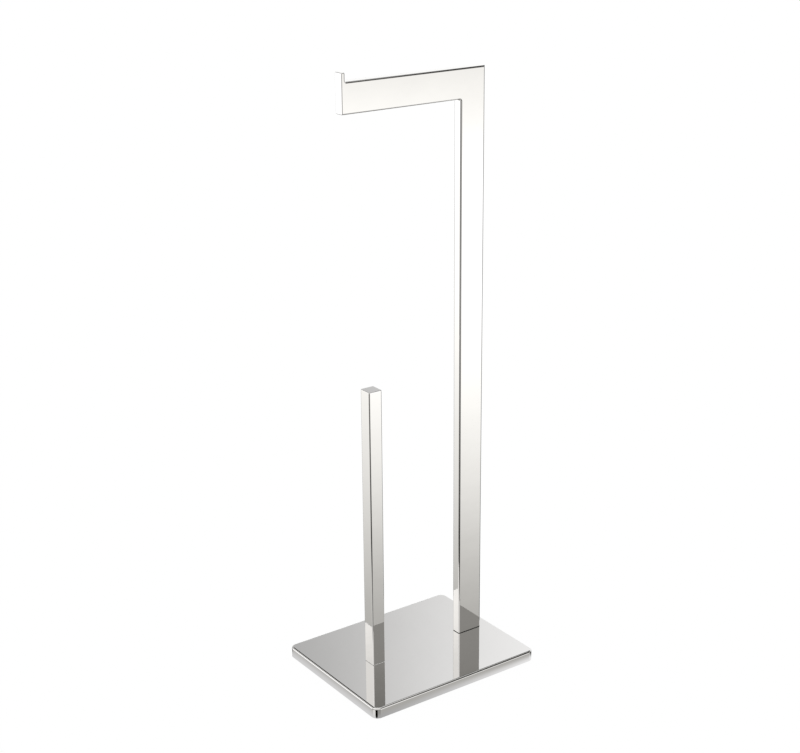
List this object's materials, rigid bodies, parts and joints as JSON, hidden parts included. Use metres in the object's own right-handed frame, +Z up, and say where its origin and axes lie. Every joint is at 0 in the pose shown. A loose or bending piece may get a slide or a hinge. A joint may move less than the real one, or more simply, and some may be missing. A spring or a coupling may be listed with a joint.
{
  "type": "toilet roll holder stand",
  "caption": "Free-standing polished chrome roll holder: square bar column with an open arm and end lip, a square post for spare rolls, and a weighted rectangular base plate.",
  "frame": {"origin": "on the floor, under the middle of the base plate", "axes": "+Z up along the column, +X from the arm's open tip towards the column along the base's long side, +Y across the base"},
  "size_m": [0.202, 0.16, 0.6213],
  "materials": {
    "chrome": "polished",
    "ballast_steel": "black oxide",
    "block_steel": "machined",
    "zinc_steel": "zinc plated",
    "spring_steel": "plain",
    "pad_foam": "closed-cell foam",
    "seal_rubber": "matte",
    "seal_clear": "translucent"
  },
  "bodies": {
    "root": {"base_cover": "chrome", "column_tube": "chrome", "arm_tube": "chrome", "arm_end_plate": "chrome", "post_tube": "chrome", "post_cap": "chrome", "ballast_plate": "ballast_steel", "column_foot_block": "block_steel", "post_foot_block": "block_steel", "base_pad": "pad_foam", "column_gasket": "seal_rubber", "post_gasket": "seal_clear", "column_screw_1": "zinc_steel", "column_screw_2": "zinc_steel", "post_screw": "zinc_steel", "column_washer_1": "zinc_steel", "column_washer_2": "zinc_steel", "post_washer": "zinc_steel", "column_lock_washer_1": "spring_steel", "column_lock_washer_2": "spring_steel", "post_lock_washer": "spring_steel"}
  },
  "joints": []
}
